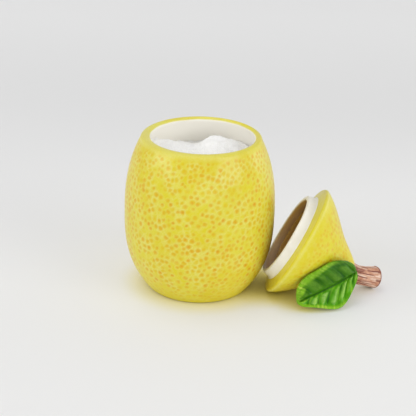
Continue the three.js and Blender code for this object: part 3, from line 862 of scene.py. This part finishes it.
def leaf():
    share = (1 - np.cos(np.linspace(0, math.pi, LEAF_STATIONS))) / 2
    share = 0.5 * share + 0.5 * np.linspace(0, 1, LEAF_STATIONS)
    upper, lower = leaf_outline(share)
    reach, face, bulge = leaf_section()
    out = np.abs(reach)
    is_lower = reach > 0
    front = (face > 0.5)[None]
    ends = smooth(share, 0.0, 0.06) * (1 - smooth(share, 0.95, 1.0))

    # Blade
    along = share[:, None] * LEAF_LENGTH
    bend = LEAF_TIP_BEND * share[:, None] ** 3
    droop = bend * (1 - smooth(share, 0.86, 1.0))[:, None]
    side = np.where(is_lower, lower[:, None] - droop, upper[:, None])
    width = reach * side
    inset = np.minimum(LEAF_RIM / 2, 0.4 * side)
    across = bend + width - reach * inset * (1 - np.abs(bulge))
    middle = LEAF_ARCH * 4 * share * (1 - share)
    fold = LEAF_CUP * np.sqrt(np.abs(np.sin(math.pi * share)))
    height = middle[:, None] + fold[:, None] * out**LEAF_FOLD_POWER
    thick = LEAF_THICKNESS + (LEAF_RIM - LEAF_THICKNESS) * reach**2
    taper = (0.45 + 0.55 * ends)[:, None]

    # Veins, with cushions between them
    turn = leaf_veins(along, width, reach)
    pitch = np.where(is_lower, LOWER_VEIN_PITCH, UPPER_VEIN_PITCH)
    inner = smooth(out, 0.03, 0.2) * (1 - smooth(out, 0.62, 0.95)) * ends[:, None]
    cushion = np.abs(np.sin(math.pi * turn)) ** 0.9
    vein_width = np.where(is_lower, LOWER_VEIN_WIDTH, UPPER_VEIN_WIDTH)
    vein = bell(np.abs((turn + 0.5) % 1 - 0.5) * pitch, vein_width) * inner
    vein = vein * (0.55 + 0.45 * np.sin(2.4 * np.floor(turn + 0.5) + 3 * reach) ** 2)
    midrib = bell(width, MIDRIB_WIDTH) * ends[:, None]
    rim_start = 0.78 - np.where(reach < 0, 0.4, 0.12) * smooth(share, 0.45, 0.95)[:, None]
    rim = smooth(out, rim_start, 0.97)
    relief = np.where(is_lower, LOWER_CUSHION, UPPER_CUSHION) * inner * (cushion - 0.6)
    relief = relief - MIDRIB_DEPTH * midrib + RIM_RISE * rim * ends[:, None]
    depth = height + taper * thick / 2 * face + relief * front
    points = np.stack([along + 0 * width, across, depth], axis=-1)

    # Brushed streaks along the veins, and where the glaze is thin
    brush = [turn * pitch, 0.16 * width, np.where(is_lower, 9.0, 0.0) + 0 * along]
    streak = smooth(ripple(np.stack(brush, axis=-1), 1.5, SEED + 70), 0.0, 1.2)
    streak = streak * np.where(is_lower, 1.0, 0.35 + 0.65 * smooth(out, 0.45, 0.8))
    streak = streak * (0.55 + 0.45 * smooth(np.abs(share - 0.55), 0.15, 0.45))[:, None]
    tip = smooth(share[:, None] + 0.05 * np.sin(9 * reach), 0.84, 0.97)
    rim = np.maximum(rim, 0.85 * tip)
    # Painted highlight: some cushions' crests are brighter than others
    patches = 0.6 + 0.4 * np.sin(1.9 * np.floor(turn) + 2.2 * reach) ** 2
    values = {
        "lower": smooth(width, -0.4, 0.4),
        "vein": np.clip(vein, 0, 1) * front,
        "midrib": midrib * front,
        "rim": rim * (0.25 + 0.75 * smooth(share, 0.2, 0.65))[:, None],
        "cushion": cushion * inner * front * patches,
        "streak": streak * ends[:, None],
    }
    return ring_object("leaf_blade", points, values, leaf_place())


# Filling

def sugar_top(x, y):
    """Height of the sugar: a broad low heap, a mound right of its middle and a bank to the left."""
    off = x - MOUND_X
    slope = np.where(off < 0, np.abs(off / MOUND_LEFT) ** 3, np.abs(off / MOUND_RIGHT) ** 4)
    heap = HEAP_HEIGHT * np.exp(-((np.hypot(x, y + 2) / HEAP_RADIUS) ** 4))
    heap += MOUND_HEIGHT * np.exp(-slope) * bell(y - MOUND_Y, MOUND_DEPTH)
    away = np.hypot((x - BANK_X) / BANK_WIDTH, (y - BANK_Y) / BANK_DEPTH)
    heap += BANK_HEIGHT * bell(away, 1)
    flat = np.stack([x, y, 0 * x], axis=-1)
    rough = 0.35 * ripple(flat, 8, SEED + 60) + 0.2 * ripple(flat, 3.2, SEED + 61)
    return SUGAR_LEVEL + heap + rough + 0.1 * ripple(flat, 1.6, SEED + 62)


def sugar():
    angle = full_turn(SUGAR_STEPS)
    share = np.linspace(1, 0.01, SUGAR_RINGS)[:, None]
    edge = np.full(SUGAR_STEPS, MOUTH_RADIUS)
    for _ in range(6):  # settles where the sugar meets the wall
        rim = sugar_top(edge * np.cos(angle), edge * np.sin(angle)) + SUGAR_CURL
        edge = jar_radius(rim) - JAR_WALL - SUGAR_GAP
    x, y = edge * share * np.cos(angle), edge * share * np.sin(angle)
    top = sugar_top(x, y) + SUGAR_CURL * smooth(share, 0.95, 1.0)
    shift = smooth(top, MOUTH_SHIFT_START, LIP_START)
    surface = np.stack([x + MOUTH_SHIFT[0] * shift, y + MOUTH_SHIFT[1] * shift, top], axis=-1)
    under = surface[0].copy()
    under[:, 2] = SUGAR_FLOOR
    rings = np.concatenate([under[None] * [0.02, 0.02, 1], under[None], surface])
    return ring_object("sugar_fill", rings)


# Stage, in metres

BACKDROP_SIZE, BACKDROP_RISE = 4.0, 2.6
BACKDROP_BEND, BACKDROP_BEND_START = 0.9, 1.2
# Painted falloff: the floor's grey changes from front to back, and is darkest far in front
FLOOR_NEAR, FLOOR_MIDDLE, FLOOR_FAR, FLOOR_FRONT = 0.61, 0.53, 0.59, 0.4
# Painted yellow bounce on the floor close to the jar and the lid
PAINTED_BOUNCE_TINT = (0.62, 0.55, 0.12)  # colour close to the jar and the lid
# The floor glows as painted light, and near the jar and the lid the glow takes a painted yellow
# bounce
GLOW, GLOW_TINT = 0.24, (1, 0.85, 0.3)
# Reach of the painted shade round what stands on the floor
CONTACT_REACH = 0.022
WORLD_STRENGTH = 0.43

# Each lamp's name, place, aim, width and height, and watts
LAMPS = (
    ("key", (-0.24, -2.1, 1.7), (0.02, 0, 0.05), (0.8, 0.64), 1.5),
    ("right", (1.8, -1.3, 0.95), (0.05, 0, 0.03), (1.6, 1.0), 13),
    ("left", (-2.2, -0.7, 1.05), (0.0, 0, 0.05), (1.8, 0.9), 22),
    ("back", (2.0, 1.0, 0.5), (0.08, 0, 0.02), (1.4, 0.6), 6),
    ("low", (0.3, -2.6, 0.4), (0.02, 0, 0.03), (2.4, 0.6), 10),
    ("top", (-0.4, 0.2, 2.3), (0.02, 0, 0.05), (1.2, 1.2), 10.5),
    ("fill", (0.62, -0.45, 0.36), (0.09, -0.01, 0.02), (0.4, 0.26), 0.75),
)


def backdrop_paint():
    """Pale paper with a low glow of painted light, which fades into painted shade and turns a
    painted yellow bounce where something stands close. Its grey changes from front to back as
    painted falloff.
    """
    paint = Paint("backdrop_paper", Roughness=0.6, Specular_IOR_Level=0.12)
    split = paint.node("ShaderNodeSeparateXYZ")
    paint.link(paint.place, split.inputs[0])
    x, y = split.outputs["X"], split.outputs["Y"]
    body = paint.mix(paint.range(y, 0.05, 0.35), grey(FLOOR_NEAR), grey(FLOOR_MIDDLE))
    body = paint.mix(paint.range(y, 0.35, 0.7), body, grey(FLOOR_FAR))
    front = paint.range(y, -0.7, -0.22, 1, 0)
    body = paint.mix(front, body, grey(FLOOR_FRONT))
    # Painted shade: ambient occlusion finds where something stands close
    contact = paint.node("ShaderNodeAmbientOcclusion", samples=16)
    contact.inputs["Distance"].default_value = CONTACT_REACH
    clear = contact.outputs["AO"]
    # Painted yellow bounce, kept near the jar and the lid by its place across the floor
    painted_bounce = paint.range(clear, 0.2, 0.8, 1, 0)
    painted_bounce = paint.times(painted_bounce, paint.range(x, 0.0, 0.04, 0.6, 1))
    painted_bounce = paint.times(painted_bounce, paint.range(x, 0.06, 0.085, 1, 0.2))
    paint.colour(paint.mix(painted_bounce, body, PAINTED_BOUNCE_TINT))
    # Painted light: the floor glows, less in the painted shade and far in front
    glow = paint.range(clear, 0.05, 0.45, 0, GLOW)
    glow = paint.times(glow, paint.range(front, 0, 1, 1, 0.2))
    paint.link(glow, paint.shader.inputs["Emission Strength"])
    glow_colour = paint.mix(painted_bounce, grey(1), GLOW_TINT)
    paint.link(glow_colour, paint.shader.inputs["Emission Color"])
    return paint.material


def stage():
    """A floor that bends up into a backdrop."""
    angle = np.linspace(0, math.pi / 2, 24)
    bend = [
        BACKDROP_BEND_START + BACKDROP_BEND * np.sin(angle),
        BACKDROP_BEND * (1 - np.cos(angle)),
    ]
    line = np.vstack([
        [(-BACKDROP_SIZE, 0)],
        np.stack(bend, axis=1),
        [(BACKDROP_BEND_START + BACKDROP_BEND, BACKDROP_RISE)],
    ])
    points = [(side * BACKDROP_SIZE, y, z) for y, z in line for side in (-1, 1)]
    faces = [(2 * k, 2 * k + 1, 2 * k + 3, 2 * k + 2) for k in range(len(line) - 1)]
    mesh = bpy.data.meshes.new("backdrop")
    mesh.from_pydata(points, [], faces)
    mesh.polygons.foreach_set("use_smooth", np.ones(len(faces), bool))
    floor = bpy.data.objects.new("backdrop", mesh)
    bpy.context.scene.collection.objects.link(floor)
    mesh.materials.append(backdrop_paint())


def lamp(name, location, target, size, power):
    data = bpy.data.lights.new(name, "AREA")
    data.shape = "RECTANGLE"
    data.size, data.size_y = size
    data.energy = power
    made = bpy.data.objects.new(name, data)
    made.location = location
    aim = Vector(target) - Vector(location)
    made.rotation_euler = aim.to_track_quat("-Z", "Y").to_euler()
    bpy.context.scene.collection.objects.link(made)


def light():
    world = bpy.data.worlds.new("studio")
    world.use_nodes = True
    back = world.node_tree.nodes["Background"]
    back.inputs["Color"].default_value = (1, 1, 1, 1)
    back.inputs["Strength"].default_value = WORLD_STRENGTH
    bpy.context.scene.world = world
    for row in LAMPS:
        lamp(*row)


def camera():
    data = bpy.data.cameras.new("photo")
    data.sensor_width = SENSOR
    data.lens = FOCAL_PIXELS / IMAGE_SIZE * SENSOR
    made = bpy.data.objects.new("photo", data)
    down = math.radians(CAMERA_ELEVATION)
    back = Vector((0, -math.cos(down), math.sin(down)))
    turn = Matrix.Rotation(math.pi / 2 - down, 4, "X")
    turn = turn @ Matrix.Rotation(math.radians(CAMERA_ROLL), 4, "Z")
    place = (Vector(CAMERA_TARGET) + back * CAMERA_DISTANCE) * MM
    made.matrix_world = Matrix.Translation(place) @ turn
    bpy.context.scene.collection.objects.link(made)
    bpy.context.scene.camera = made


bpy.context.scene.view_settings.view_transform = "Standard"
camera()
light()
stage()

jar_glaze = glaze_paint("jar_glaze", 0.95, 1.0, IVORY)
dress(jar(), jar_glaze, "jar", "yellow_glaze", "jar_body")
dress(sugar(), sugar_paint(), "jar", None)
lid_glaze = glaze_paint("lid_glaze", 0.66, 0.65, LINING_TAN_DEEP)
dress(lid_dome(), lid_glaze, "lid", "yellow_glaze", "lid_dome")
dress(lid_flange(), flange_paint(), "lid", "ivory_glaze", "lid_flange")
dress(stem(), bark_paint(), "lid", "bark_glaze", "stem")
dress(leaf(), leaf_paint(), "lid", "leaf_glaze", "leaf")
